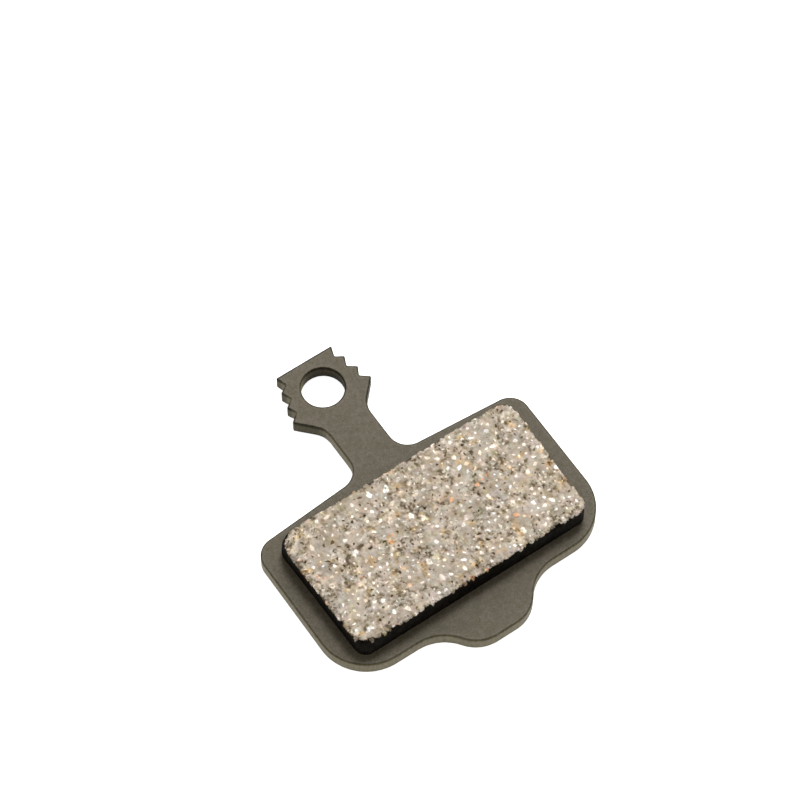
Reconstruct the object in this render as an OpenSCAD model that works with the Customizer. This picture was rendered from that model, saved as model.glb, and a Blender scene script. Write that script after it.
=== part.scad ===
// Disc brake pad for a bicycle: a fine-blanked steel backing plate with a friction lining
// moulded onto its front and keyed through six holes.
// The origin is on the pin hole's axis at the plate's back face. +Y runs to the top of the tab
// and +Z out of the friction face.

/* [Backing plate] */
// Width across the shoulders
plate_w = 30; // [28:0.5:34]
// Thickness of the steel
plate_t = 1.8; // [1.5:0.1:2.4]
// Drop from the pin hole's axis to the corner between neck and shoulder
shoulder_drop = 9.8; // [9:0.1:12]
// Angle at which each shoulder falls away from the neck
shoulder_slope = 4.2; // [1:0.1:8]
// Radius of the shoulders' outer corners
shoulder_r = 2; // [1:0.1:3]
// Drop from the pin hole's axis to the lower edge
foot_drop = 27.2; // [26:0.1:30]
// Angle at which the lower edge rises towards the sides
foot_slope = 0.4; // [0.2:0.1:2]
// Radius of the lower outer corners
foot_r = 5; // [3:0.1:6]

/* [Lobe below the plate] */
// Depth of the lobe below the lower edge
lobe_drop = 3.4; // [2:0.1:4.4]
// Half the width of the lobe's flat end
lobe_flat = 1.05; // [0.6:0.05:2]
// Radius of the lobe's rounded corners
lobe_r = 3.65; // [2.6:0.05:4.5]
// Radius of the hollow that leads from the lower edge into the lobe
lobe_blend_r = 4.35; // [3:0.05:5]
// Straight flank between those two curves
lobe_flank = 0.3; // [0.1:0.05:1]

/* [Tab and neck] */
// Diameter of the hole for the retaining pin
pin_d = 4.2; // [3.6:0.1:4.6]
// Height of the flat tab top above the pin hole's axis
tab_top = 3.35; // [3:0.05:4]
// Width of the flat tab top
tab_w = 6.4; // [6:0.1:8]
// Width of the neck between tab and shoulders
neck_w = 4.65; // [4:0.05:6]
// Drop from the last tooth's tip to the corner where the tab meets the neck
tab_fall = 2.3; // [1.6:0.1:3]
// Radius of the hollow between tab and neck
tab_neck_r = 2.3; // [1:0.1:2.4]
// Radius of the hollow between neck and shoulder
neck_shoulder_r = 2.05; // [1:0.05:2.5]

/* [Teeth on the tab] */
// Number of teeth on each side
teeth = 4; // [3:1:5]
// Distance from one tip to the next, down the tab
tip_pitch = 1.64; // [1.5:0.02:1.8]
// How much further out each tip stands than the one above
tip_step = 0.44; // [0.3:0.02:0.6]
// Drop from the first tip to the first notch
notch_drop = 1.12; // [0.9:0.02:1.2]
// How far the first notch cuts in behind the first tip
notch_in = 0.38; // [0.2:0.02:0.6]
// Distance from one notch to the next, down the tab
notch_pitch = 1.52; // [1.46:0.02:1.7]
// How much further out each notch lies than the one above
notch_step = 0.4; // [0.3:0.02:0.5]
// Radius at a tip
tip_r = 0.12; // [0.08:0.01:0.16]
// Radius in a notch
notch_r = 0.15; // [0.1:0.01:0.2]

/* [Blanked edges] */
// Width of the rolled edge round the back face
roll_w = 0.42; // [0.2:0.02:0.5]
// Depth of that rolled edge
roll_h = 0.34; // [0.2:0.02:0.5]
// Break along the front edge
front_break = 0.1; // [0.05:0.01:0.16]
// Rolled edge round each hole on the back face
hole_roll = 0.22; // [0.1:0.02:0.3]
// Break round the pin hole on the front face
pin_break = 0.12; // [0.05:0.01:0.2]

/* [Keying holes and plugs] */
// Diameter of a keying hole
key_d = 3.9; // [3:0.1:4.4]
// Distance between the three columns of holes
key_pitch_x = 9; // [7:0.1:9.6]
// Distance between the two rows of holes
key_pitch_y = 6.7; // [5.6:0.1:7]
// How far the middle column sits nearer the tab
key_shift = 0.35; // [0:0.05:0.6]
// Gap between a plug and its hole
key_gap = 0.01; // [0.01:0.01:0.03]
// How far a plug's end stays below the back face
plug_recess = 0.9; // [0.5:0.05:1.1]
// Bevel round a plug's end
plug_bevel = 0.2; // [0.1:0.05:0.3]

/* [Friction lining] */
// Thickness of the lining on the plate
lining_t = 2.2; // [1:0.1:3]
// Bare rim between the lining and the plate's sides, at the tab end
rim_side = 1.95; // [1.4:0.05:2.4]
// How much further the lining draws in on each side at the lobe end
lining_taper = 0.3; // [0:0.05:0.6]
// Bare rim between the lining and the corner of neck and shoulder
rim_top = 2; // [1.5:0.05:2.6]
// Bare rim between the lining and the lower edge
rim_foot = 1.6; // [1.2:0.05:2.2]
// Radius of the lining's corners
lining_r = 1.2; // [0.6:0.1:2]
// Break round the lining's friction face
lining_break = 0.12; // [0.06:0.02:0.3]

/* [Hidden] */

// an arc turns this many degrees per step, more coarsely where its radius is under small_r
arc_step = 7.5;
small_step = 30;
small_r = 0.5;
// steps over the rolled edge and over a break, and the smallest radius left by an inset
roll_steps = 4;
break_steps = 2;
least_r = 0.05;
// how far a cutter runs past the face it cuts, and a plug into the lining
past = 0.5;

plate_half = plate_w / 2;
neck_half = neck_w / 2;
last_tip_y = tab_top - (teeth - 1) * tip_pitch;
shoulder_end_y = -shoulder_drop - (plate_half - neck_half) * tan(shoulder_slope);

// turn of the lobe's flank, so that its two curves and the flank span lobe_drop
lobe_curves = lobe_r + lobe_blend_r;
flank_turn = acos((lobe_curves - lobe_drop) / norm([lobe_curves, lobe_flank]))
    - atan(lobe_flank / lobe_curves);
lobe_corner_x = lobe_flat + lobe_r * tan(flank_turn / 2);
blend_corner_x = lobe_corner_x + lobe_drop / tan(flank_turn);
foot_corner_y = -foot_drop + (plate_half - blend_corner_x) * tan(foot_slope);

lining_top_y = -shoulder_drop - rim_top;
lining_foot_y = -foot_drop + rim_foot;
lining_half = plate_half - rim_side;
key_centre_y = (lining_top_y + lining_foot_y) / 2;

function tip(i) = [tab_w / 2 + i * tip_step, tab_top - i * tip_pitch, tip_r];
function notch(i) = [
    tab_w / 2 - notch_in + i * notch_step,
    tab_top - notch_drop - i * notch_pitch,
    notch_r
];

// corners of half the plate as [x, y, radius], down its right-hand side
plate_corners = [
    for (i = [0 : teeth - 2]) each [tip(i), notch(i)],
    tip(teeth - 1),
    [neck_half, last_tip_y - tab_fall, tab_neck_r],
    [neck_half, -shoulder_drop, neck_shoulder_r],
    [plate_half, shoulder_end_y, shoulder_r],
    [plate_half, foot_corner_y, foot_r],
    [blend_corner_x, -foot_drop, lobe_blend_r],
    [lobe_corner_x, -foot_drop - lobe_drop, lobe_r]
];

// corners of half the lining
lining_corners = [
    [lining_half, lining_top_y, lining_r],
    [lining_half - lining_taper, lining_foot_y, lining_r]
];

// centres of the keying holes
key_places = [
    for (column = [-1 : 1], row = [-0.5, 0.5])
        [column * key_pitch_x, key_centre_y + row * key_pitch_y + (column == 0 ? key_shift : 0)]
];

function unit(v) = v / norm(v);
function flat(c) = [c[0], c[1]];
function side_normal(a, b) = let (d = unit(flat(b) - flat(a))) [-d[1], d[0]];

// the edge before corner i, and after it; the first and last edges run level to the centre line
function before(corners, i) = i == 0 ? [0, corners[0][1]] : flat(corners[i - 1]);
function after(corners, i) =
    i == len(corners) - 1 ? [0, corners[i][1]] : flat(corners[i + 1]);

// points of the arc at corner i, once both its edges are moved inwards by inset
function corner_arc(corners, i, inset) =
    let (
        p = flat(corners[i]),
        n1 = side_normal(before(corners, i), p),
        n2 = side_normal(p, after(corners, i)),
        turn = atan2(n1[0] * n2[1] - n1[1] * n2[0], n1 * n2),
        hollow = turn > 0,
        r0 = corners[i][2],
        r = hollow ? r0 + inset : max(least_r, r0 - inset),
        steps = ceil(abs(turn) / (r0 < small_r ? small_step : arc_step)),
        corner = p - inset * (n1 + n2) / (1 + n1 * n2),
        centre = corner + (hollow ? 1 : -1) * r * (n1 + n2) / (1 + n1 * n2),
        start = (hollow ? -1 : 1) * r * n1
    )
    [
        for (k = [0 : steps])
            let (a = turn * k / steps)
            centre + [start[0] * cos(a) - start[1] * sin(a), start[0] * sin(a) + start[1] * cos(a)]
    ];

function half_outline(corners, inset) =
    [for (i = [0 : len(corners) - 1]) each corner_arc(corners, i, inset)];

// the closed outline: down the right-hand side and back up its mirror image
function outline(corners, inset) =
    let (half = half_outline(corners, inset), n = len(half))
    concat(half, [for (i = [n - 1 : -1 : 0]) [-half[i][0], half[i][1]]]);

// a slab with that outline whose section is given as rings of [height, inset], lowest first
module slab(corners, rings) {
    loops = [for (ring = rings) outline(corners, ring[1])];
    n = len(loops[0]);
    strips = n / 2 - 1;
    top = (len(rings) - 1) * n;
    polyhedron(
        points = [
            for (k = [0 : len(rings) - 1], p = loops[k]) [p[0], p[1], rings[k][0]]
        ],
        faces = concat(
            [for (i = [0 : strips - 1]) [n - 1 - i, n - 2 - i, i + 1, i]],
            [for (i = [0 : strips - 1]) [top + i, top + i + 1, top + n - 2 - i, top + n - 1 - i]],
            [
                for (k = [0 : len(rings) - 2], i = [0 : n - 1])
                    let (j = (i + 1) % n)
                    [k * n + i, k * n + j, (k + 1) * n + j, (k + 1) * n + i]
            ]
        )
    );
}

// cuts a hole from below z = 0 to above z = top, with a rolled edge at z = 0
module rolled_hole(d, top) {
    r = d / 2;
    translate([0, 0, -past])
        cylinder(h = top + 2 * past, r = r, $fn = 64);
    rotate_extrude($fn = 64)
        difference() {
            translate([r - hole_roll, -hole_roll])
                square(2 * hole_roll);
            translate([r + hole_roll, hole_roll])
                circle(r = hole_roll, $fn = 32);
            translate([r + hole_roll, -hole_roll])
                square([hole_roll, 2 * hole_roll]);
        }
}

// cuts the break round a hole's edge at z = top
module hole_break(d, top, wide) {
    translate([0, 0, top - wide])
        cylinder(h = 2 * wide, r1 = d / 2, r2 = d / 2 + 2 * wide, $fn = 64);
}

// fine-blanked steel: rolled edge at the back, sharp broken edge at the front
module backing_plate() {
    roll_rings = [
        for (k = [0 : roll_steps])
            let (a = 90 * k / roll_steps)
            [roll_h * (1 - cos(a)), roll_w * (1 - sin(a))]
    ];
    break_rings = [
        for (k = [0 : break_steps])
            let (a = 90 * k / break_steps)
            [plate_t - front_break * (1 - sin(a)), front_break * (1 - cos(a))]
    ];
    color([0.42, 0.4, 0.35])
        difference() {
            slab(plate_corners, concat(roll_rings, break_rings));
            rolled_hole(pin_d, plate_t);
            hole_break(pin_d, plate_t, pin_break);
            for (place = key_places)
                translate(place)
                    rolled_hole(key_d, plate_t);
        }
}

// friction compound: the block on the plate and its plugs in the keying holes, moulded as one
module friction_lining() {
    top = plate_t + lining_t;
    plug_r = key_d / 2 - key_gap;
    plug_h = plate_t - plug_recess;
    color([0.7, 0.65, 0.58])
        union() {
            slab(lining_corners, [
                [plate_t, 0],
                [top - lining_break, 0],
                [top, lining_break]
            ]);
            for (place = key_places)
                translate([place[0], place[1], plug_recess]) {
                    cylinder(h = plug_bevel, r1 = plug_r - plug_bevel, r2 = plug_r, $fn = 64);
                    translate([0, 0, plug_bevel])
                        cylinder(h = plug_h - plug_bevel + past, r = plug_r, $fn = 64);
                }
        }
}

backing_plate();
friction_lining();
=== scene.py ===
import math
import random

import bmesh
import bpy
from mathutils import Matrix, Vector, kdtree, noise
from mathutils.geometry import delaunay_2d_cdt


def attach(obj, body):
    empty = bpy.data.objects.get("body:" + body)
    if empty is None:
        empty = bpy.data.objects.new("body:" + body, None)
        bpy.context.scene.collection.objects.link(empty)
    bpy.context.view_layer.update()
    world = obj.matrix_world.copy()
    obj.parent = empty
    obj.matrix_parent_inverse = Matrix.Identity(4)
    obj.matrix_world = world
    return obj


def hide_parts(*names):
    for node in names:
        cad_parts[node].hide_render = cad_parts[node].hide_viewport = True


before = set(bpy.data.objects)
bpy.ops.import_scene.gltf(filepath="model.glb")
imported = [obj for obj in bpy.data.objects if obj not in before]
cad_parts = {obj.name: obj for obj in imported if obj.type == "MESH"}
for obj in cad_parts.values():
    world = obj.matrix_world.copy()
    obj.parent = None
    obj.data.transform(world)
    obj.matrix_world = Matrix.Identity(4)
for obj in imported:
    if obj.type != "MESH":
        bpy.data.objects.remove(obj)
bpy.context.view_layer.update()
mm = 0.001
chance = random.Random(41)


class Wire:
    # one output of a node, so that shader maths reads as plain sums
    def __init__(self, finish, socket):
        self.finish = finish
        self.socket = socket
        self.isNumber = socket.type == "VALUE"

    def sum(self, operation, first, second):
        kind = "ShaderNodeMath" if self.isNumber else "ShaderNodeVectorMath"
        return self.finish.make(kind, {"operation": operation}, {0: first, 1: second})

    def __add__(self, other):
        return self.sum("ADD", self, other)

    def __radd__(self, other):
        return self.sum("ADD", self, other)

    def __sub__(self, other):
        return self.sum("SUBTRACT", self, other)

    def __rsub__(self, other):
        return self.sum("SUBTRACT", other, self)

    def __mul__(self, other):
        plain = isinstance(other, (int, float)) or isinstance(other, Wire) and other.isNumber
        if plain and not self.isNumber:
            return self.finish.make("ShaderNodeVectorMath", {"operation": "SCALE"}, {0: self, "Scale": other})
        return self.sum("MULTIPLY", self, other)

    def __rmul__(self, other):
        return self * other

    def atLeast(self, low):
        return self.sum("MAXIMUM", self, low)

    def step(self, low, high):
        # 0 below low, 1 above high, and smooth between
        return self.finish.make(
            "ShaderNodeMapRange",
            {"interpolation_type": "SMOOTHSTEP"},
            {"Value": self, "From Min": low, "From Max": high},
        )


class Finish:
    # a node material of one Principled surface
    def __init__(self, name):
        self.material = bpy.data.materials.new(name)
        self.material.use_nodes = True
        self.tree = self.material.node_tree
        self.shader = self.tree.nodes["Principled BSDF"]
        self.place = self.make("ShaderNodeTexCoord", {}, {}, "Object") * (1 / mm)

    def make(self, kind, settings, sockets, out=0):
        node = self.tree.nodes.new(kind)
        for name, value in settings.items():
            setattr(node, name, value)
        for name, value in sockets.items():
            self.plug(node.inputs[name], value)
        return Wire(self, node.outputs[out])

    def plug(self, socket, value):
        if isinstance(value, Wire):
            self.tree.links.new(value.socket, socket)
        elif socket.type == "RGBA" and len(value) == 3:
            socket.default_value = (*value, 1)
        else:
            socket.default_value = value

    def grain(self, perMm, detail=2.0, stretch=None, shift=0.0):
        # noise from 0 to 1, with so many lumps to the millimetre
        where = self.place + (shift, shift * 0.7, shift * 1.3)
        if stretch:
            where = self.make("ShaderNodeVectorMath", {"operation": "MULTIPLY"}, {0: where, 1: stretch})
        return self.make(
            "ShaderNodeTexNoise", {}, {"Vector": where, "Scale": perMm, "Detail": detail}, "Fac"
        )

    def cells(self, perMm, shift=0.0):
        # broken stone: a chance value for each angular cell, with so many cells to the millimetre
        bend = self.make(
            "ShaderNodeTexNoise", {}, {"Vector": self.place, "Scale": perMm * 1.3, "Detail": 2.0}, "Color"
        )
        bent = (bend - (0.5, 0.5, 0.5)) * (0.55 / perMm)
        where = self.place + (shift, -shift, shift * 0.6) + bent
        cell = self.make("ShaderNodeTexVoronoi", {}, {"Vector": where, "Scale": perMm}, "Color")
        return self.make("ShaderNodeSeparateXYZ", {}, {0: cell}, 0)

    def mix(self, under, over, mask):
        return self.make("ShaderNodeMix", {"data_type": "RGBA"}, {0: mask, 6: under, 7: over}, 2)

    def tint(self, red, green, blue):
        # a factor for each part of a colour
        return self.make("ShaderNodeCombineXYZ", {}, {0: red, 1: green, 2: blue})

    def mark(self, name, out="Fac"):
        return self.make("ShaderNodeAttribute", {"attribute_name": name}, {}, out)

    def wear(self, **sockets):
        for name, value in sockets.items():
            self.plug(self.shader.inputs[name.replace("_", " ")], value)

    def relief(self, height, size):
        # height from 0 to 1 becomes a relief of that size in millimetres
        return self.make("ShaderNodeBump", {}, {"Height": height, "Distance": size * mm, "Strength": 1.0})


def tone(red, green, blue):
    # a colour as a screen shows it, 0 to 255, made linear
    return tuple(
        c / 12.92 if c <= 0.04045 else ((c + 0.055) / 1.055) ** 2.4
        for c in (red / 255, green / 255, blue / 255)
    )


def toneOf(colour, low=0.9, high=1.1):
    # a colour made darker or lighter by chance
    scale = chance.uniform(low, high)
    return tuple(min(1.0, c * scale) for c in colour)


def clamp(value):
    return max(0.0, min(1.0, value))


def turned(x, y, angle):
    return (x * math.cos(angle) - y * math.sin(angle), x * math.sin(angle) + y * math.cos(angle))


def wander(p, perMm, seed):
    # smooth chance value from -1 to 1
    z = p[2] * perMm if len(p) > 2 else seed
    return noise.noise(Vector((p[0] * perMm + seed, p[1] * perMm - seed, z)))


def waves(p, parts, start=0.0):
    # wander added up from parts, each with a size, lumps to the millimetre and a seed
    total = start
    for size, perMm, seed in parts:
        total += size * wander(p, perMm, seed)
    return total


drawing = {
    "leastRadius": 0.03,
    "smallRadius": 0.5,     # curves under this radius take fewer points
    "smallTurn": 9,         # degrees from point to point
    "largeTurn": 3,
    "jitter": 0.28,         # of a grid's spacing
}


def roundedHalf(corners, inset):
    # right half of an outline from its top centre to its bottom centre, moved inwards by inset
    ends = [(0, corners[0][1])] + [c[:2] for c in corners] + [(0, corners[-1][1])]
    ends = [Vector(p) for p in ends]
    arcs = []
    for i, corner in enumerate(corners, 1):
        radius = corner[2]
        before = (ends[i] - ends[i - 1]).normalized()
        after = (ends[i + 1] - ends[i]).normalized()
        out1 = Vector((-before.y, before.x))
        out2 = Vector((-after.y, after.x))
        turn = math.atan2(before.x * after.y - before.y * after.x, before.dot(after))
        hollow = 1 if turn > 0 else -1
        r = max(drawing["leastRadius"], radius + hollow * inset)
        towards = (out1 + out2) / (1 + out1.dot(out2))
        centre = ends[i] - towards * inset + towards * (hollow * r)
        fine = drawing["smallTurn"] if radius < drawing["smallRadius"] else drawing["largeTurn"]
        steps = max(3, math.ceil(abs(math.degrees(turn)) / fine))
        spoke = out1 * (-hollow * r)
        arcs.append([centre + Vector(turned(spoke.x, spoke.y, turn * k / steps)) for k in range(steps + 1)])
    top = Vector((0, corners[0][1] - inset))
    foot = Vector((0, corners[-1][1] + inset))
    return [[top]] + arcs + [[foot]]


def outline(corners, inset, spacing):
    # closed outline, clockwise; the same number of points whatever the inset
    plain = roundedHalf(corners, 0)
    moved = roundedHalf(corners, inset)
    half = []
    for i, arc in enumerate(moved):
        half += arc
        if i + 1 < len(moved):
            cuts = math.ceil((plain[i + 1][0] - plain[i][-1]).length / spacing)
            half += [arc[-1].lerp(moved[i + 1][0], k / cuts) for k in range(1, cuts)]
    return half + [Vector((-p.x, p.y)) for p in half[-2:0:-1]]


def outwards(loop):
    # unit normals of a clockwise loop
    result = []
    for i in range(len(loop)):
        along = (loop[(i + 1) % len(loop)] - loop[i - 1]).normalized()
        result.append(Vector((-along.y, along.x)))
    return result


def circle(x, y, r, count):
    turns = [2 * math.pi * k / count for k in range(count)]
    return [Vector((x + r * math.cos(a), y + r * math.sin(a))) for a in turns]


def anticlockwise(points, area):
    # the same area, turned as the triangle filler needs it
    twice = sum(
        points[a].x * points[b].y - points[b].x * points[a].y
        for a, b in zip(area, area[1:] + area[:1])
    )
    return area if twice > 0 else area[::-1]


def weave(flat, areas):
    # triangles over closed areas: points and faces, each with what it came from
    points, _, faces, fromPoints, _, fromFaces = delaunay_2d_cdt(flat, [], areas, 1, 1e-7)
    sourced = [(p, sources[0] if sources else None) for p, sources in zip(points, fromPoints)]
    return sourced, list(zip(faces, fromFaces))


def insideSpans(loops, y):
    # where a level line at y runs inside the first loop and outside the others
    crossings = []
    for loop in loops:
        last = loop[-1]
        for p in loop:
            if (p.y > y) != (last.y > y):
                crossings.append(last.x + (y - last.y) * (p.x - last.x) / (p.y - last.y))
            last = p
    crossings.sort()
    return list(zip(crossings[::2], crossings[1::2]))


def treeOf(points):
    tree = kdtree.KDTree(len(points))
    for i, p in enumerate(points):
        tree.insert((p.x, p.y, 0), i)
    tree.balance()
    return tree


def scatterGrid(loops, spacing, clear):
    # jittered grid between the loops, no nearer to their points than clear
    tree = treeOf([p for loop in loops for p in loop])
    low = min(p.y for p in loops[0])
    high = max(p.y for p in loops[0])
    jitter = drawing["jitter"]
    found = []
    for row in range(1, int((high - low) / spacing)):
        y = low + row * spacing
        for left, right in insideSpans(loops, y):
            for column in range(math.ceil(left / spacing), int(right / spacing) + 1):
                p = Vector((
                    (column + (row % 2) * 0.5 + chance.uniform(-jitter, jitter)) * spacing,
                    y + chance.uniform(-jitter, jitter) * spacing,
                ))
                if left + clear < p.x < right - clear and tree.find((p.x, p.y, 0))[2] > clear:
                    found.append(p)
    return found


class Body:
    # points in millimetres and faces of one piece, with the marks that its material reads
    def __init__(self):
        self.points = []
        self.faces = []
        self.marks = {}
        self.skins = {}         # faces that don't take the first material

    def add(self, x, y, z, **marks):
        self.points.append((x, y, z))
        self.mark(len(self.points) - 1, **marks)
        return len(self.points) - 1

    def mark(self, number, **marks):
        for name, value in marks.items():
            self.marks.setdefault(name, {})[number] = value

    def flat(self, numbers):
        return [Vector(self.points[i][:2]) for i in numbers]

    def face(self, corners, skin=0):
        self.faces.append(corners)
        if skin:
            self.skins[len(self.faces) - 1] = skin

    def strip(self, first, second, skin=0):
        # a closed band between two loops of point numbers
        for i in range(len(first)):
            self.face((first[i - 1], first[i], second[i], second[i - 1]), skin)

    def fill(self, loops, spots, height, skin=0):
        # triangles between loops of point numbers, through the given spots, which it numbers
        numbers = [i for loop in loops for i in loop]
        flat = self.flat(numbers)
        areas = []
        start = 0
        for loop in loops:
            areas.append(anticlockwise(flat, list(range(start, start + len(loop)))))
            start += len(loop)
        points, faces = weave(flat + spots, areas)
        first = len(self.points)
        made = []
        for p, source in points:
            isOld = source is not None and source < len(numbers)
            made.append(numbers[source] if isOld else self.add(p.x, p.y, height(p)))
        holes = set(range(1, len(loops)))
        for corners, sources in faces:
            if 0 in sources and not holes.intersection(sources):
                self.face(tuple(made[i] for i in corners), skin)
        return range(first, len(self.points))

    def piece(self, name, materials, sharp):
        mesh = bpy.data.meshes.new(name)
        mesh.from_pydata([(x * mm, y * mm, z * mm) for x, y, z in self.points], [], self.faces)
        count = len(self.points)
        for title, values in self.marks.items():
            isColour = isinstance(next(iter(values.values())), tuple)
            attribute = mesh.attributes.new(title, "FLOAT_COLOR" if isColour else "FLOAT", "POINT")
            if isColour:
                parts = [c for i in range(count) for c in (*values.get(i, (0, 0, 0)), 1)]
                attribute.data.foreach_set("color", parts)
            else:
                attribute.data.foreach_set("value", [values.get(i, 0.0) for i in range(count)])
        work = bmesh.new()
        work.from_mesh(mesh)
        bmesh.ops.recalc_face_normals(work, faces=work.faces)
        work.to_mesh(mesh)
        work.free()
        mesh.shade_smooth()
        mesh.set_sharp_from_angle(angle=math.radians(sharp))
        for material in materials:
            mesh.materials.append(material)
        for i, skin in self.skins.items():
            mesh.polygons[i].material_index = skin
        made = bpy.data.objects.new(name, mesh)
        bpy.context.scene.collection.objects.link(made)
        triangles = sum(len(p.vertices) - 2 for p in mesh.polygons)
        print(name, len(mesh.vertices), "points", triangles, "triangles")
        return made


plate = {
    "half": 15.0,
    "thick": 1.8,
    "shoulderDrop": 9.8,
    "shoulderSlope": 4.2,
    "shoulderRadius": 2.0,
    "footDrop": 27.2,
    "footSlope": 0.4,
    "footRadius": 5.0,
    "lobeDrop": 3.4,
    "lobeFlat": 1.05,
    "lobeRadius": 3.65,
    "lobeBlend": 4.35,
    "lobeFlank": 0.3,
    "tabTop": 3.35,
    "tabHalf": 3.2,
    "neckHalf": 2.325,
    "tabFall": 2.3,
    "tabNeckRadius": 2.3,
    "neckShoulderRadius": 2.05,
    "teeth": 4,
    "tipPitch": 1.64,
    "tipStep": 0.44,
    "notchDrop": 1.12,
    "notchIn": 0.38,
    "notchPitch": 1.52,
    "notchStep": 0.4,
    "tipRadius": 0.12,
    "notchRadius": 0.15,
    "rollWide": 0.42,       # rolled edge round the back
    "rollDeep": 0.34,
    "backLedge": 0.07,      # flat ring that holds the rolled edge
    "frontBreak": 0.1,
    "pinRadius": 2.1,
    "pinBreak": 0.12,
    "keyRadius": 1.95,
    "keyBreak": 0.03,
    "keyPitchX": 9.0,
    "keyPitchY": 6.7,
    "keyShift": 0.35,
    "holeRoll": 0.22,
    "holeLedge": 0.05,
    "holePoints": 96,
    "tornBelow": 1.0,       # height up to which the punch tears a hole's wall, and how deep
    "torn": 0.05,
    # painted shade on the torn band of a hole's wall
    "tornShade": 0.6,
    "dullFrom": -4.3,       # painted shade darkens the tab's walls above this place, but not near a notch
    "notchUnshaded": 0.35,
    "notchFade": 0.3,
    # painted light on the side of the pin hole's wall that faces the lamps
    "litSide": (-0.87, 0.5),
    "litSideShare": 0.75,
    "spacing": 0.25,
    "backGrid": 0.16,
    "backClear": 0.1,
    "frontGrid": 0.34,
    "frontClear": 0.18,
    "edgeWaves": ((0.011, 2.6, 5), (0.006, 9, 8)),
    "frontDrop": 0.003,
    "frontWaves": ((0.003, 0.9, 21),),
    "dentDepth": 0.016,
    "dents": ((0.5, 1.6, 3), (0.35, 3.4, 9), (0.3, 6.0, 17)),
    "rollSteps": 7,         # bands of a wall: its rolled edge, straight part and front break
    "wallSteps": 6,
    "breakSteps": 4,
    "wallBands": range(5, 18),      # the bands that take the lit outer-wall paint or the shaded hole paint
    "softEdge": 0.35,       # share of the edge mark on the rings next to an edge
    "highlightRings": ((0.06, 0.4, 0.35), (0.14, 1.0, 0.0), (0.27, 0.0, 0.0)),   # distance in, painted highlight and edge
}


def plateCorners(p):
    slope = math.tan(math.radians(p["shoulderSlope"]))
    shoulderEnd = -p["shoulderDrop"] - (p["half"] - p["neckHalf"]) * slope
    curves = p["lobeRadius"] + p["lobeBlend"]
    flank = math.acos((curves - p["lobeDrop"]) / math.hypot(curves, p["lobeFlank"]))
    flank -= math.atan(p["lobeFlank"] / curves)
    lobeX = p["lobeFlat"] + p["lobeRadius"] * math.tan(flank / 2)
    blendX = lobeX + p["lobeDrop"] / math.tan(flank)
    footY = -p["footDrop"] + (p["half"] - blendX) * math.tan(math.radians(p["footSlope"]))
    corners = []
    for i in range(p["teeth"]):
        corners.append((p["tabHalf"] + i * p["tipStep"], p["tabTop"] - i * p["tipPitch"], p["tipRadius"]))
        if i < p["teeth"] - 1:
            corners.append((
                p["tabHalf"] - p["notchIn"] + i * p["notchStep"],
                p["tabTop"] - p["notchDrop"] - i * p["notchPitch"],
                p["notchRadius"],
            ))
    lastTip = p["tabTop"] - (p["teeth"] - 1) * p["tipPitch"]
    return corners + [
        (p["neckHalf"], lastTip - p["tabFall"], p["tabNeckRadius"]),
        (p["neckHalf"], -p["shoulderDrop"], p["neckShoulderRadius"]),
        (p["half"], shoulderEnd, p["shoulderRadius"]),
        (p["half"], footY, p["footRadius"]),
        (blendX, -p["footDrop"], p["lobeBlend"]),
        (lobeX, -p["footDrop"] - p["lobeDrop"], p["lobeRadius"]),
    ]


def plateSection(p, rollWide, rollDeep, broken, ledge):
    # rings of a wall, from the back's edge to the front's: inset, height and marks
    thick = p["thick"]
    rings = []

    def ring(inset, z, back=0.0, front=0.0, edge=0.0, paintedHighlight=0.0):
        rings.append((inset, z, {"back": back, "front": front, "edge": edge, "paintedHighlight": paintedHighlight}))

    ring(rollWide + ledge, 0.0, back=1.0, edge=p["softEdge"])
    for k in range(p["rollSteps"] + 1):
        share = k / p["rollSteps"]
        a = math.pi / 2 * k / p["rollSteps"]
        ring(rollWide * (1 - math.sin(a)), rollDeep * (1 - math.cos(a)), back=1 - share, edge=1.0)
    steps = p["wallSteps"]
    for k in range(1, steps):
        edge = p["softEdge"] * (k == steps - 1)
        ring(0.0, rollDeep + (thick - broken - rollDeep) * k / steps, edge=edge)
    for k in range(p["breakSteps"] + 1):
        share = k / p["breakSteps"]
        a = math.pi / 2 * k / p["breakSteps"]
        ring(broken * (1 - math.cos(a)), thick - broken * (1 - math.sin(a)), front=share, edge=1.0)
    for inwards, paintedHighlight, edge in p["highlightRings"]:
        ring(broken + inwards, thick, front=1.0, edge=edge, paintedHighlight=paintedHighlight)
    return rings


def backRelief(q):
    # shot-blasted skin: shallow dents of several sizes, all below the back face
    deep = plate["dentDepth"]
    return deep + deep * max(-1, min(1, waves(q, plate["dents"])))


def tabWallShade(p, q, notches):
    # painted shade on the tab's walls, less next to a notch, fading out towards the neck
    near = min((q - n).length for n in notches)
    return clamp(q.y - p["dullFrom"]) * clamp((near - p["notchUnshaded"]) / p["notchFade"])


def pinHoleLitSide(p, q):
    # painted light on the pin hole's wall, strongest on the side that faces the lamps
    return p["litSideShare"] * max(0.0, q.normalized().dot(Vector(p["litSide"]))) ** 5


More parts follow.
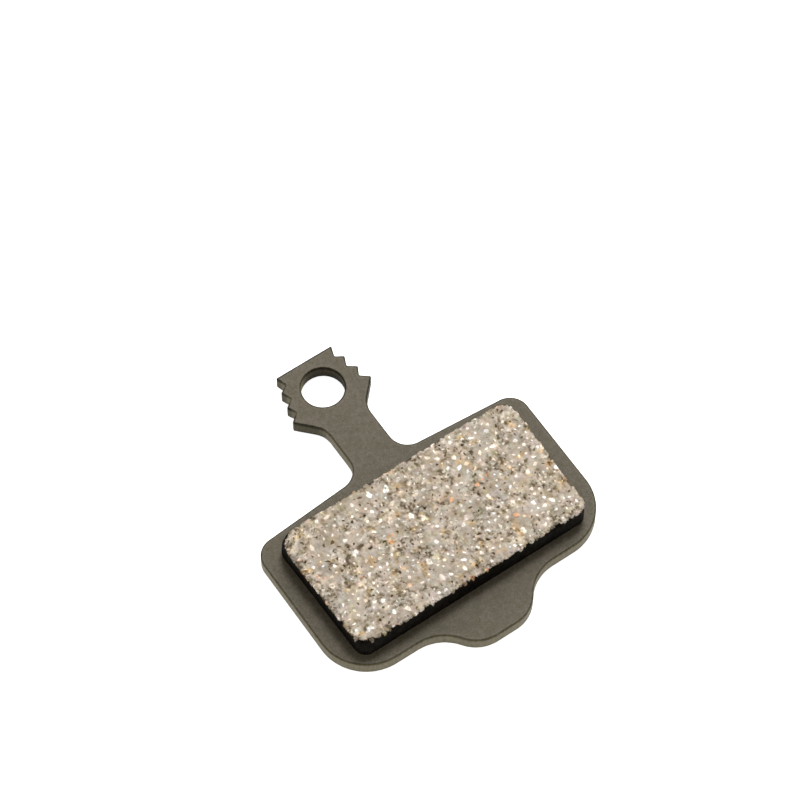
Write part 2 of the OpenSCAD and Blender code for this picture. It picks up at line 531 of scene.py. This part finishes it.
def buildPlate(p):
    body = Body()
    backLoops = []
    frontLoops = []

    def wall(rings, skin):
        for k, (lower, upper) in enumerate(zip(rings, rings[1:])):
            body.strip(lower, upper, skin=skin if k in p["wallBands"] else 0)
        backLoops.append(rings[0])
        frontLoops.append(rings[-1])

    corners = plateCorners(p)
    base = outline(corners, 0, p["spacing"])
    away = outwards(base)
    shear = [waves(q, p["edgeWaves"]) for q in base]
    notches = [Vector((side * x, y)) for x, y, r in corners if r == p["notchRadius"] for side in (-1, 1)]
    dull = [tabWallShade(p, q, notches) for q in base]
    rings = []
    outer = plateSection(p, p["rollWide"], p["rollDeep"], p["frontBreak"], p["backLedge"])
    for inset, z, marks in outer:
        loop = outline(corners, inset, p["spacing"])
        level = min(p["thick"], max(0.0, z))
        rings.append([
            body.add(q.x + n.x * s, q.y + n.y * s, level, **marks, dull=d)
            for q, n, s, d in zip(loop, away, shear, dull)
        ])
    wall(rings, 2)

    holes = [(0, 0, p["pinRadius"], p["pinBreak"])]
    holes += [(x, y, p["keyRadius"], p["keyBreak"]) for x, y in keyPlaces]
    for number, (x, y, r, broken) in enumerate(holes):
        rings = []
        for inset, z, marks in plateSection(p, p["holeRoll"], p["holeRoll"], broken, p["holeLedge"]):
            isTorn = z < p["tornBelow"]
            torn = p["torn"] * (1 - marks["front"]) * (1 - marks["back"]) * isTorn
            rings.append([
                body.add(
                    q.x, q.y, z, **marks, dull=p["tornShade"] * isTorn,
                    bare=0.0 if number else pinHoleLitSide(p, q) * (1 - marks["front"]),
                )
                for q in circle(x, y, r + inset + torn, p["holePoints"])
            ])
        wall(rings, 1)

    def frontSkin(q):
        return waves(q, p["frontWaves"], p["thick"] - p["frontDrop"])

    for side, loops, height in (("back", backLoops, backRelief), ("front", frontLoops, frontSkin)):
        spots = scatterGrid([body.flat(loop) for loop in loops], p[side + "Grid"], p[side + "Clear"])
        for i in body.fill(loops, spots, height):
            body.mark(i, **{side: 1.0})
    return body


paint = {
    "front": tone(92, 84, 66),
    "wall": tone(83, 77, 53),
    "back": tone(80, 75, 61),
    # bare steel where edges are nicked, also the tone of the painted light in the pin hole
    "bare": tone(142, 137, 121),
    "roughness": 0.56,
    "gloss": 0.3,
    # how much painted shade darkens the tab's walls and the torn bands
    "dulling": 0.63,
    "line": 0.5,            # darkness of the painted shade line round the front edge
    "relief": 0.02,
}
# a darker copy of the paint for the walls of the holes: painted shade
shadedBorePaint = dict(
    paint, wall=tone(57, 48, 26), bare=tone(140, 133, 113), roughness=0.75, gloss=0.08, line=0.7
)
# a lighter copy of the paint for the outer walls: painted light
litWallPaint = dict(paint, wall=tone(110, 103, 84), roughness=0.65, gloss=0.08, line=0.38)


def paintFinish(name, v):
    finish = Finish(name)
    front = finish.mark("front")
    back = finish.mark("back")
    edge = finish.mark("edge")
    dull = finish.mark("dull")
    wall = (1 - front) * (1 - back)
    cloud = finish.grain(0.5, detail=3.0) - 0.5
    mottle = finish.grain(2.2, detail=3.0, shift=4.0) - 0.5
    speck = finish.grain(6.5, shift=9.0) - 0.5
    crackle = finish.grain(4.2, detail=3.5, shift=15.0) - 0.5
    streaks = finish.grain(5.0, stretch=(1.0, 1.0, 0.22), shift=2.0) - 0.5
    dusty = finish.grain(5.2, detail=1.0, shift=44.0).step(0.72, 0.8)
    nick = edge * finish.grain(1.9, detail=4.0, shift=31.0).step(0.62, 0.72)
    # the ring beside the front edge is lighter: a painted highlight
    even = 0.2 * cloud + 0.9 * mottle + 1.2 * speck + 0.16 * finish.mark("paintedHighlight") + 0.3 * dusty
    blasted = 0.3 * mottle + 1.7 * crackle + 0.9 * speck
    walled = 0.9 * streaks + 0.4 * mottle
    # painted shade: a dark line along the front edge, darker still on the shaded tab walls
    line = (edge * (1 + 0.4 * dull)).step(0.0, 1.0) * (1 - back) * (v["line"] + 0.35 * dull)
    colour = finish.mix(v["wall"], v["front"], front)
    colour = finish.mix(colour, v["back"], back)
    colour = colour * (1 + even * front + blasted * back + walled * wall - line)
    # painted shade on the tab's walls and torn bands, and a painted highlight on the back's rolled edge
    colour = colour * (1 - v["dulling"] * dull * (1 - front)) * (1 + 0.6 * edge * back)
    # painted light: the pin hole's wall goes towards the light tone on the side facing the lamps
    colour = finish.mix(colour, v["bare"], finish.mark("bare"))
    # dark spots, the painted shade line and the painted wall shade are warm, and light spots are cool
    blue = 1 + 0.7 * (even * front + blasted * back) - 0.5 * line - 0.22 * dull * (1 - front)
    colour = colour * finish.tint(1, 1, blue)
    colour = finish.mix(colour, v["bare"], nick * 0.3 * (0.3 + 0.7 * back))
    lumps = 0.5 + (0.5 * mottle + 0.35 * speck) * (1 - back) + back * (0.9 * crackle + 0.7 * speck)
    finish.wear(
        Base_Color=colour,
        Roughness=v["roughness"] + 0.08 * mottle + 0.12 * back - 0.12 * wall + 0.12 * speck,
        Specular_IOR_Level=v["gloss"],
        Normal=finish.relief(lumps, v["relief"]),
    )
    return finish.material


lining = {
    "half": 13.05,
    "taper": 0.3,
    "top": -11.8,
    "foot": -25.6,
    "radius": 1.2,
    "under": 1.8,
    "face": 4.0,
    "spacing": 0.085,
    "clearOfEdge": -0.03,
    "levels": (0.0, 0.06, 0.14, 0.26, 0.42, 0.65, 0.95, 1.3, 1.7, 2.2),     # depths of the side's rings
    "footBand": 0.2,        # the foot breaks deeper and is worn more than the sides
    "footBite": 1.35,
    "footWear": 0.09,
    "sideFrom": 12.6,
    "sideWear": -0.06,
    "worn": [((-13.05, -11.8), 0.5), ((13.05, -11.8), 0.2), ((-12.75, -25.6), 0.42)],
    "wornReach": 1.3,       # size of the worn corners, whose places and depths are above
    "biteFade": 0.2,        # depths at which the chips and the wear fade, and the side's waves are full
    "wornFade": 0.45,
    "calmFade": 0.3,
    "biteWaves": ((0.03, 5, 2), (0.07, 1.3, 9)),
    "sideWaves": ((0.02, 2.2, 4), (0.015, 7, 11)),
    "rimWaves": ((0.05, 4, 7),),
    "rimDrop": 0.03,
    "rim": 0.11,
    "faceDrop": 0.045,
    "faceSwell": ((0.012, 0.8, 6),),
    "faceLumps": ((0.022, 3.1, 13), (0.016, 6.5, 27)),
    "grid": 0.15,
    "gridClear": 0.07,
    "plugRadius": 1.94,
    "plugEnd": 0.9,
    "plugRings": ((0.45, 0.0), (0.72, 0.02), (0.84, 0.09), (0.9, 0.2)),     # depth and inset
    "plugPoints": 72,
    "plugGrid": 0.13,
    "plugClear": 0.08,
    "plugLift": 0.03,
    "plugLumps": ((0.07, 1.1, 23), (0.06, 2.8, 5), (0.03, 6, 15)),
    "plugPits": ((1.0, 2.6, 31), (0.5, 6.5, 37)),
    "plugPitRare": 0.34,    # the higher, the fewer pits
    "plugPitDeep": 0.8,
    "plugSpan": (0.82, 1.5),
    "crumbly": ((2.4, 0.5, 40), (1.2, 1.5, 44)),
    "crumblyShare": 0.62,
    "light": ((2.6, 0.33, 60),),
    "lightShare": 0.45,
    "leastZone": 0.12,      # what is left of the grains in the smooth patches
    # painted shade along the foot and the left edge, the sides away from the lamps: strength and reach
    "edgeShade": 0.4,
    "edgeShadeReach": 0.75,
    "chips": {
        "kinds": {"shard": 0.5, "copper": 0.13, "brass": 0.09, "pale": 0.09, "pit": 0.19},
        "length": (2, 8),   # points of the rim from end to end
        "bite": 0.26,
        "smallness": 2.6,   # the higher, the more small bites
        "drop": (0.02, 0.16),
        "down": 0.65,
        "least": 0.3,       # share of the drop and of the way down that the smallest bite has
        "steep": 0.07,      # a chip goes down by no more than this for each point of its length
    },
}
keyMiddle = (lining["top"] + lining["foot"]) / 2
keyPlaces = []
for column in (-1, 0, 1):
    for row in (-0.5, 0.5):
        middleShift = plate["keyShift"] if column == 0 else 0
        keyPlaces.append((column * plate["keyPitchX"], keyMiddle + row * plate["keyPitchY"] + middleShift))

# what the compound is made of: number to the square millimetre, radius, length to width, bend,
# neighbours in a chain, height over the face, lean in degrees, share of the radius that is level,
# share of metal, roughness and the tones it comes in
grains = {
    "copper": {
        "perArea": 0.11, "size": (0.18, 0.42), "long": 2.4, "bend": 0.5, "chain": (1, 3),
        "rise": (0.0, 0.03), "lean": 9, "level": 0.74, "metal": 0.1, "rough": 0.5,
        "tones": [tone(236, 212, 188), tone(234, 194, 158), tone(240, 222, 204), tone(214, 162, 120)],
    },
    "brass": {
        "perArea": 0.1, "size": (0.14, 0.34), "long": 2.4, "bend": 0.5, "chain": (1, 3),
        "rise": (0.0, 0.02), "lean": 8, "level": 0.74, "metal": 0.1, "rough": 0.5,
        "tones": [tone(208, 196, 166), tone(172, 160, 130), tone(216, 205, 178), tone(150, 137, 108)],
    },
    "pale": {
        "perArea": 1.05, "size": (0.17, 0.5), "long": 2.2, "bend": 0.5, "chain": (0, 2),
        "rise": (0.0, 0.035), "lean": 10, "level": 0.74, "metal": 0.0, "rough": 0.35,
        "tones": [tone(255, 250, 238), tone(254, 243, 228), tone(246, 234, 214), tone(234, 218, 199)],
    },
    "pit": {
        "perArea": 1.1, "size": (0.14, 0.36), "long": 3.6, "bend": 1.2, "chain": (0, 2),
        "rise": (-0.06, -0.015), "lean": 0, "level": 0.66, "metal": 0.0, "rough": 0.95,
        "tones": [tone(104, 86, 58), tone(90, 74, 48), tone(120, 102, 74), tone(78, 62, 40)],
    },
    "shard": {
        "perArea": 1.0, "size": (0.18, 0.5), "long": 2.4, "bend": 0.5, "chain": (0, 1),
        "rise": (-0.015, 0.02), "lean": 8, "level": 0.8, "metal": 0.0, "rough": 0.6,
        "tones": [tone(205, 191, 172), tone(150, 136, 112), tone(188, 169, 154), tone(140, 126, 101),
                  tone(194, 181, 156), tone(170, 153, 139)],
    },
}
compound = {
    "matrix": [tone(180, 167, 147), tone(184, 170, 151), tone(173, 160, 140), tone(182, 166, 148)],
    "matrixRough": 0.66,
    # the pressed side's own dark skin, made darker still as painted shade
    "side": tone(17, 14, 9),
    "sideRough": 0.85,
    "edgeShade": (0.3, 0.6),                 # shades of the matrix under the painted edge shade
    # the same painted edge shade at the rim
    "rimEdgeShade": (0.25, 0.6),
    "rimShades": (0.9, 1.1),
    "chipShades": (0.45, 0.95),
    "sideShades": (0.5, 1.5),
    "plugShades": (0.8, 1.18),
    "plug": tone(90, 85, 72),
    # the tone that a plug's end darkens to in its pits: painted shade
    "plugPitShade": tone(36, 33, 26),
    "plugPale": tone(128, 122, 108),
    "palePlugs": 0.06,
    "plugRough": 0.8,
    "tries": 20,                        # for each grain that is wanted
    "smallness": 1.7,                   # the higher, the more small grains
    "room": 1.22,                       # a grain stays within so many times its size
    "apart": 1.24,                      # distance of neighbours, for each millimetre of their sizes
    "shadowPitShare": 0.45,                  # share of proud grains with a dark pit on their shadow side, a painted cast shadow
    "shadowSide": (-0.564, -0.826),
}


def liningCorners(p):
    return [(p["half"], p["top"], p["radius"]), (p["half"] - p["taper"], p["foot"], p["radius"])]


def roughZone(q):
    # 1 where the compound is crumbly, and the least in the smooth patches
    least = lining["leastZone"]
    return least + (1 - least) * clamp(waves(q, lining["crumbly"], lining["crumblyShare"]))


def lightZone(q):
    # how readily white grains gather at a place
    return max(lining["leastZone"], min(1.0, waves(q, lining["light"], lining["lightShare"])))


def faceHeight(q):
    # level overall, with lumps that are lower in the smooth patches
    level = waves(q, lining["faceSwell"], lining["face"] - lining["faceDrop"])
    return level + waves(q, lining["faceLumps"]) * roughZone(q)


def edgeShadeChance(q):
    # how likely the matrix takes painted shade: along the foot and the left edge, the sides away from the
    # lamps
    near = min(q[0] + lining["half"] - lining["taper"], q[1] - lining["foot"])
    return lining["edgeShade"] * clamp(1 - near / lining["edgeShadeReach"])


class Ground:
    # keeps the places already taken by grains, and the edge of the face
    cell = 0.35
    usual = 0.36            # reach of all but the largest grains
    edgeGap = 0.02
    grainGap = 0.008

    def __init__(self, loop):
        self.taken = {}
        self.edge = treeOf(loop)
        self.left = min(q.x for q in loop)
        self.right = max(q.x for q in loop)
        self.low = min(q.y for q in loop)
        self.high = max(q.y for q in loop)
        self.area = (self.right - self.left) * (self.high - self.low)

    def near(self, x, y, reach):
        # the places taken within that reach, as gap to their edge
        span = math.ceil((reach + self.usual) / self.cell)
        column = int(x // self.cell)
        row = int(y // self.cell)
        for i in range(column - span, column + span + 1):
            for j in range(row - span, row + span + 1):
                for ox, oy, other in self.taken.get((i, j), ()):
                    yield math.hypot(x - ox, y - oy) - other

    def claim(self, x, y, reach):
        # true if a grain of that reach fits there, which then takes the place
        if not (self.left < x < self.right and self.low < y < self.high):
            return False
        if self.edge.find((x, y, 0))[2] < reach + self.edgeGap:
            return False
        if any(gap < reach + self.grainGap for gap in self.near(x, y, reach)):
            return False
        self.taken.setdefault((int(x // self.cell), int(y // self.cell)), []).append((x, y, reach))
        return True


def sizeOf(kind):
    low, high = kind["size"]
    return low + (high - low) * chance.random() ** compound["smallness"]


def scatterGrains(ground):
    # places each grain clear of the ones before it, some in short chains
    placed = []

    def put(kind, x, y, size, turn):
        if ground.claim(x, y, size * compound["room"]):
            placed.append((kind, x, y, size, turn))
            return True
        return False

    # a dark pit beside the grain, on the side away from the lamps: a painted cast shadow
    def putShadowPit(x, y, size, turn):
        dark = sizeOf(grains["pit"])
        reach = (size + dark) * compound["apart"]
        sx, sy = compound["shadowSide"]
        put(grains["pit"], x + reach * sx, y + reach * sy, dark, turn)

    def putChain(kind, x, y, size, turn):
        made = 0
        for _ in range(chance.randint(*kind["chain"])):
            turn += chance.uniform(-0.9, 0.9)
            other = sizeOf(kind)
            reach = (size + other) * compound["apart"]
            x += reach * math.cos(turn)
            y += reach * math.sin(turn)
            size = other
            if not put(kind, x, y, size, turn):
                break
            made += 1
        return made

    for name, kind in grains.items():
        zone = lightZone if name == "pale" else roughZone
        wanted = int(kind["perArea"] * ground.area)
        made = 0
        for _ in range(wanted * compound["tries"]):
            if made >= wanted:
                break
            x = chance.uniform(ground.left, ground.right)
            y = chance.uniform(ground.low, ground.high)
            turn = chance.uniform(0, 2 * math.pi)
            size = sizeOf(kind)
            if chance.random() > zone((x, y)) or not put(kind, x, y, size, turn):
                continue
            made += 1
            if name != "pit" and chance.random() < compound["shadowPitShare"]:
                putShadowPit(x, y, size, turn)
            made += putChain(kind, x, y, size, turn)
    return placed


def grainShape(x, y, size, turn, kind):
    # an angular outline round a grain, inside its room, long towards turn
    corners = chance.randint(5, 8) if size < 0.3 else chance.randint(7, 11)
    thin = chance.uniform(1 / kind["long"], 0.85)
    bend = chance.uniform(-1, 1) * kind["bend"] * (1 - thin)
    shape = []
    for k in range(corners):
        a = 2 * math.pi * (k + chance.uniform(-0.3, 0.3)) / corners
        r = chance.uniform(0.6, 1.2)
        u = r * math.cos(a)
        v = r * math.sin(a) * thin
        v += bend * (u * u - 0.4)
        scale = size * min(1.0, 1.2 / math.hypot(u, v))
        dx, dy = turned(u, v, turn)
        shape.append(Vector((x + scale * dx, y + scale * dy)))
    return shape


def edgeChips(v, count):
    # the edge breaks off in chips: each has a depth, a drop and the tone of the grain it cuts
    kinds = v["kinds"]
    chips = []
    while sum(c["length"] for c in chips) < count:
        kind = grains[chance.choices(list(kinds), list(kinds.values()))[0]]
        bite = chance.random() ** v["smallness"]
        deep = v["least"] + bite
        chips.append({
            "length": chance.randint(*v["length"]),
            "bite": v["bite"] * bite,
            "drop": v["drop"][0] + v["drop"][1] * chance.random() * deep,
            "down": chance.uniform(0.0, v["down"]) * deep,
            "tone": chance.choice(kind["tones"]),
            "metal": kind["metal"],
            "rough": kind["rough"],
        })
    spread = []
    for chip in chips:
        down = min(chip["down"], v["steep"] * chip["length"])
        for k in range(chip["length"]):
            spread.append(dict(chip, down=down * math.sin(math.pi * (k + 0.5) / chip["length"])))
    return spread[:count]


class Station:
    # one point round the lining's rim
    def __init__(self, at, out, chip, bite, worn):
        self.at = at
        self.out = out
        self.chip = chip
        self.bite = bite
        self.worn = worn
        self.shown = chip["down"] - 0.6 * worn      # how far down the broken grain shows


def edgeStations(p):
    base = outline(liningCorners(p), 0, p["spacing"])
    chips = edgeChips(p["chips"], len(base))
    stations = []
    for i, (q, out) in enumerate(zip(base, outwards(base))):
        atFoot = q.y < p["foot"] + p["footBand"]
        atSide = abs(q.x) > p["sideFrom"]
        before, here, after = (chips[(i + k) % len(base)]["bite"] for k in (-1, 0, 1))
        wave = waves(q, p["biteWaves"])
        bite = (p["footBite"] if atFoot else 1.0) * (0.25 * before + 0.5 * here + 0.25 * after + wave)
        worn = 0
        for place, deep in p["worn"]:
            worn += deep * math.exp(-((q - Vector(place)).length / p["wornReach"]) ** 2)
        worn += p["footWear"] if atFoot else p["sideWear"] if atSide else 0.0
        stations.append(Station(q, out, chips[i], bite, worn))
    return stations


def sideRing(body, p, stations, depth):
    # one ring of the pressed side, with broken grains at its top
    v = compound
    ring = []
    for s in stations:
        spot = (s.at.x, s.at.y, depth)
        inset = p["clearOfEdge"] + s.bite * math.exp(-depth / p["biteFade"])
        inset += s.worn * math.exp(-depth / p["wornFade"])
        inset += waves(spot, p["sideWaves"]) * min(1, depth / p["calmFade"])
        z = p["face"] - max(depth, p["rimDrop"])
        z -= s.chip["drop"] * max(0, 1 - depth / p["biteFade"]) * 0.6
        if depth == p["levels"][-1]:
            z = p["under"]
        shown = depth <= s.shown
        ring.append(body.add(
            s.at.x - s.out.x * inset, s.at.y - s.out.y * inset, z,
            tone=toneOf(s.chip["tone"], *v["chipShades"]) if shown else toneOf(v["side"], *v["sideShades"]),
            metal=s.chip["metal"] if shown else 0.0,
            rough=s.chip["rough"] if shown else v["sideRough"],
        ))
    return ring


def rimRing(body, p, stations):
    # the ring where the broken edge meets the face
    ring = []
    for s in stations:
        inset = p["clearOfEdge"] + s.bite + s.worn + p["rim"] + waves(s.at, p["rimWaves"])
        spot = s.at - s.out * inset
        isGrain = s.chip["down"] > 0.05 and chance.random() < 0.5
        colour = s.chip["tone"] if isGrain else chance.choice(compound["matrix"])
        # painted shade along the foot and the left edge
        shades = compound["rimShades" if chance.random() > 1.3 * edgeShadeChance(spot) else "rimEdgeShade"]
        ring.append(body.add(
            spot.x, spot.y, faceHeight(spot), tone=toneOf(colour, *shades),
            metal=s.chip["metal"] * 0.5, rough=0.6, calm=1 - roughZone(spot),
        ))
    return ring


def liningFace(body, p, rim):
    # every grain is an island of the mesh, its rim at the matrix and its top proud or sunk
    loop = body.flat(rim)
    ground = Ground(loop)
    flat = list(loop)
    areas = [anticlockwise(flat, list(range(len(rim))))]
    tops = {}
    for kind, x, y, size, turn in scatterGrains(ground):
        shape = grainShape(x, y, size, turn, kind)
        centre = Vector((x, y))
        rise = chance.uniform(*kind["rise"])
        tilt = math.tan(math.radians(chance.uniform(0, kind["lean"])))
        a = chance.uniform(0, 2 * math.pi)
        lean = Vector((math.cos(a), math.sin(a))) * tilt
        colour = toneOf(chance.choice(kind["tones"]), 0.8, 1.1)
        areas.append(list(range(len(flat), len(flat) + len(shape))))
        flat += shape
        areas.append(list(range(len(flat), len(flat) + len(shape))))
        for q in [centre.lerp(q, kind["level"]) for q in shape]:
            level = faceHeight(centre) + rise + (q - centre).dot(lean)
            tops[len(flat)] = (level, toneOf(colour, 0.93, 1.07), kind["metal"], kind["rough"])
            flat.append(q)
    for q in scatterGrid([loop], p["grid"], p["gridClear"]):
        if all(gap > 0.01 for gap in ground.near(q.x, q.y, 0.0)):
            flat.append(q)
    points, faces = weave(flat, areas)
    made = []
    for q, source in points:
        if source is not None and source < len(rim):
            made.append(rim[source])
            continue
        crumbly = roughZone(q)
        spread = 0.03 + 0.1 * crumbly
        # painted shade: darker matrix along the foot and the left edge
        shades = (1 - spread, 1 + spread) if chance.random() > edgeShadeChance(q) else compound["edgeShade"]
        colour = toneOf(chance.choice(compound["matrix"]), *shades)
        z, colour, metal, rough = tops.get(source, (faceHeight(q), colour, 0.0, compound["matrixRough"]))
        made.append(body.add(
            q.x, q.y, min(p["face"], z), tone=colour, metal=metal, rough=rough, calm=1 - crumbly
        ))
    for corners, sources in faces:
        if 0 in sources:
            body.face(tuple(made[i] for i in corners))


def plugHeight(q):
    # lumpy end of a plug, with pits
    p = lining
    pit = max(0.0, waves(q, p["plugPits"]) - p["plugPitRare"]) * p["plugPitDeep"]
    low, high = p["plugSpan"]
    return min(high, max(low, p["plugEnd"] + p["plugLift"] + waves(q, p["plugLumps"]) + pit))


def liningUnder(body, p, last):
    # the underside lies on the plate, and six plugs go down into its holes
    pressed = {"metal": 0.0, "rough": compound["plugRough"]}
    tops = []
    for x, y in keyPlaces:
        tops.append([
            body.add(q.x, q.y, p["under"], tone=compound["plug"], **pressed)
            for q in circle(x, y, p["plugRadius"], p["plugPoints"])
        ])
    body.fill([last] + tops, [], lambda q: p["under"])
    for (x, y), above in zip(keyPlaces, tops):
        for depth, shrink in p["plugRings"]:
            ring = []
            for q in circle(x, y, p["plugRadius"], p["plugPoints"]):
                dent = 0.035 * (1 + wander((q.x, q.y, depth), 2.5, 3)) * (depth > 0.5)
                towards = (Vector((x, y)) - q).normalized()
                spot = q + towards * (shrink + dent)
                z = p["under"] - depth + 0.05 * abs(wander(q, 3, 1)) * (depth > 0.8)
                ring.append(body.add(spot.x, spot.y, z, tone=compound["plug"], **pressed))
            body.strip(above, ring, skin=2)
            above = ring
        spots = scatterGrid([body.flat(above)], p["plugGrid"], p["plugClear"])
        for i in body.fill([above], spots, plugHeight, skin=2):
            # painted shade: the plug's end darkens with the depth of its pits
            deep = clamp((body.points[i][2] - p["plugEnd"] - 0.07) / 0.12)
            colour = compound["plugPale"] if chance.random() < compound["palePlugs"] else compound["plug"]
            mixed = tuple(a + (b - a) * deep for a, b in zip(colour, compound["plugPitShade"]))
            body.mark(i, tone=toneOf(mixed, *compound["plugShades"]), **pressed)


def buildLining(p):
    body = Body()
    stations = edgeStations(p)
    rings = [sideRing(body, p, stations, depth) for depth in p["levels"]]
    rim = rimRing(body, p, stations)
    body.strip(rings[0], rim)
    for upper, lower, depth in zip(rings, rings[1:], p["levels"]):
        for i, s in enumerate(stations):
            isSide = depth >= s.shown
            body.face((upper[i - 1], upper[i], lower[i], lower[i - 1]), skin=1 if isSide else 0)
    liningFace(body, p, rim)
    liningUnder(body, p, rings[-1])
    return body


def compoundFinish(name, gloss, variety):
    finish = Finish(name)
    colour = finish.mark("tone", "Color")
    metal = finish.mark("metal")
    rough = finish.mark("rough")
    crumbly = 1 - finish.mark("calm")
    cloud = 1.2 * (finish.grain(0.33, detail=3.0) - 0.5)
    smear = finish.grain(1.6, stretch=(1.0, 0.75, 1.0), shift=6.0) - 0.5
    speck = finish.grain(2.8, detail=1.0, shift=12.0) - 0.5
    dust = finish.grain(8.0, shift=19.0) - 0.5
    warm = finish.grain(0.9, detail=3.0, shift=25.0) - 0.5
    rosy = finish.grain(1.5, shift=33.0) - 0.5
    coppery = finish.grain(0.85, detail=1.0, shift=71.0).step(0.61, 0.73)
    brassy = finish.grain(1.1, detail=1.0, shift=77.0).step(0.63, 0.77)
    broken = 0.34 * (finish.cells(1.9, 3.0) - 0.5) + 0.16 * (finish.cells(3.4, 8.0) - 0.5)
    gaps = finish.grain(2.3, stretch=(1.0, 0.72, 1.0), shift=51.0).step(0.43, 0.33)
    cracks = finish.grain(3.2, detail=1.0, stretch=(0.7, 1.0, 1.0), shift=57.0).step(0.4, 0.31)
    chips = finish.grain(2.6, detail=1.0, shift=63.0).step(0.6, 0.7)
    crumbs = 2.5 * smear + 1.7 * speck + 0.1 * dust + broken
    holes = 0.38 * chips - 0.56 * gaps - 0.4 * cracks
    varied = 0.7 * cloud + (0.3 + 0.7 * crumbly) * crumbs + (0.05 + 0.95 * crumbly) * holes
    shade = (1.01 + variety * varied).atLeast(0.2)
    dark = (1 - shade).atLeast(0.0)
    tint = finish.tint(
        1 + 0.24 * warm + 0.12 * rosy + 0.14 * dark + 0.16 * variety * coppery,
        1.01 - 0.1 * rosy - 0.06 * dark - 0.03 * coppery,
        1.05 - 0.4 * warm + 0.1 * rosy - 0.5 * dark - variety * (0.28 * coppery + 0.18 * brassy),
    )
    lumps = 0.5 + 0.6 * speck + 0.4 * dust + 0.3 * smear - 0.3 * gaps - 0.2 * cracks
    finish.wear(
        Base_Color=colour * shade * tint,
        Metallic=metal,
        Roughness=rough + 0.4 * speck,
        Specular_IOR_Level=gloss,
        Normal=finish.relief(lumps, 0.05),
    )
    return finish.material


print("building the plate")
plateBody = buildPlate(plate)
plateSkins = [
    paintFinish("olivePaint", paint),
    paintFinish("shadedBorePaint", shadedBorePaint),
    paintFinish("litWallPaint", litWallPaint),
]
backingPlate = plateBody.piece("paintedPlate", plateSkins, 42)
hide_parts("backing_plate")
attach(backingPlate, "root")

print("building the lining")
liningBody = buildLining(lining)
liningSkins = [
    compoundFinish("groundFace", gloss=0.35, variety=1.0),
    compoundFinish("pressedFlank", gloss=0.06, variety=1.0),
    compoundFinish("plugEnd", gloss=0.15, variety=0.45),
]
frictionBlock = liningBody.piece("frictionBlock", liningSkins, 28)
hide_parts("friction_lining")
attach(frictionBlock, "root")

studio = {
    "floorSize": 3.0,
    "floorDrop": 2e-5,
    "floor": tone(250, 250, 250),
    "floorShade": tone(246, 246, 246),
    "floorGlow": 0.9,
    "sky": 0.42,
    "lampAim": (0, -0.015, 0),
    "lamps": {
        "keyLamp": {"power": 1.9, "size": 0.18, "place": (0.204, 0.204, 0.55)},
        "sideLamp": {"power": 1.65, "size": 0.36, "place": (0.35, 0.35, 0.33)},
    },
}
camera = {
    "azimuth": -34.35,
    "elevation": 61.72,
    "distance": 0.34273,
    "target": (0.00585, -0.00448, 0.0),
    "lens": 160.99,
    "sensor": 36,
    "near": 0.01,
    "far": 10,
}


def buildStudio(v):
    mesh = bpy.data.meshes.new("floor")
    s = v["floorSize"] / 2
    z = -v["floorDrop"]
    mesh.from_pydata([(-s, -s, z), (s, -s, z), (s, s, z), (-s, s, z)], [], [(0, 1, 2, 3)])
    floor = bpy.data.objects.new("floor", mesh)
    bpy.context.scene.collection.objects.link(floor)
    finish = Finish("paleFloor")
    finish.wear(
        Base_Color=finish.mix(v["floor"], v["floorShade"], finish.grain(0.02)),
        Roughness=0.9,
        Emission_Color=v["floor"],
        Emission_Strength=v["floorGlow"],
    )
    mesh.materials.append(finish.material)
    world = bpy.data.worlds.new("studioAir")
    world.use_nodes = True
    sky = world.node_tree.nodes["Background"]
    sky.inputs["Color"].default_value = (1, 1, 1, 1)
    sky.inputs["Strength"].default_value = v["sky"]
    bpy.context.scene.world = world
    for name, lamp in v["lamps"].items():
        light = bpy.data.lights.new(name, "AREA")
        light.shape = "SQUARE"
        light.size = lamp["size"]
        light.energy = lamp["power"]
        placed = bpy.data.objects.new(name, light)
        placed.location = lamp["place"]
        placed.rotation_mode = "QUATERNION"
        placed.rotation_quaternion = (Vector(v["lampAim"]) - placed.location).to_track_quat("-Z", "Y")
        bpy.context.scene.collection.objects.link(placed)
    bpy.context.scene.view_settings.view_transform = "Standard"


def buildCamera(v):
    lens = bpy.data.cameras.new("camera")
    lens.sensor_width = v["sensor"]
    lens.lens = v["lens"]
    lens.clip_start = v["near"]
    lens.clip_end = v["far"]
    eye = bpy.data.objects.new("camera", lens)
    a = math.radians(v["azimuth"])
    e = math.radians(v["elevation"])
    back = Vector((math.sin(a) * math.cos(e), -math.cos(a) * math.cos(e), math.sin(e)))
    eye.location = Vector(v["target"]) + back * v["distance"]
    eye.rotation_mode = "QUATERNION"
    eye.rotation_quaternion = (-back).to_track_quat("-Z", "Y")
    bpy.context.scene.collection.objects.link(eye)
    bpy.context.scene.camera = eye


print("lighting the scene")
buildStudio(studio)
buildCamera(camera)
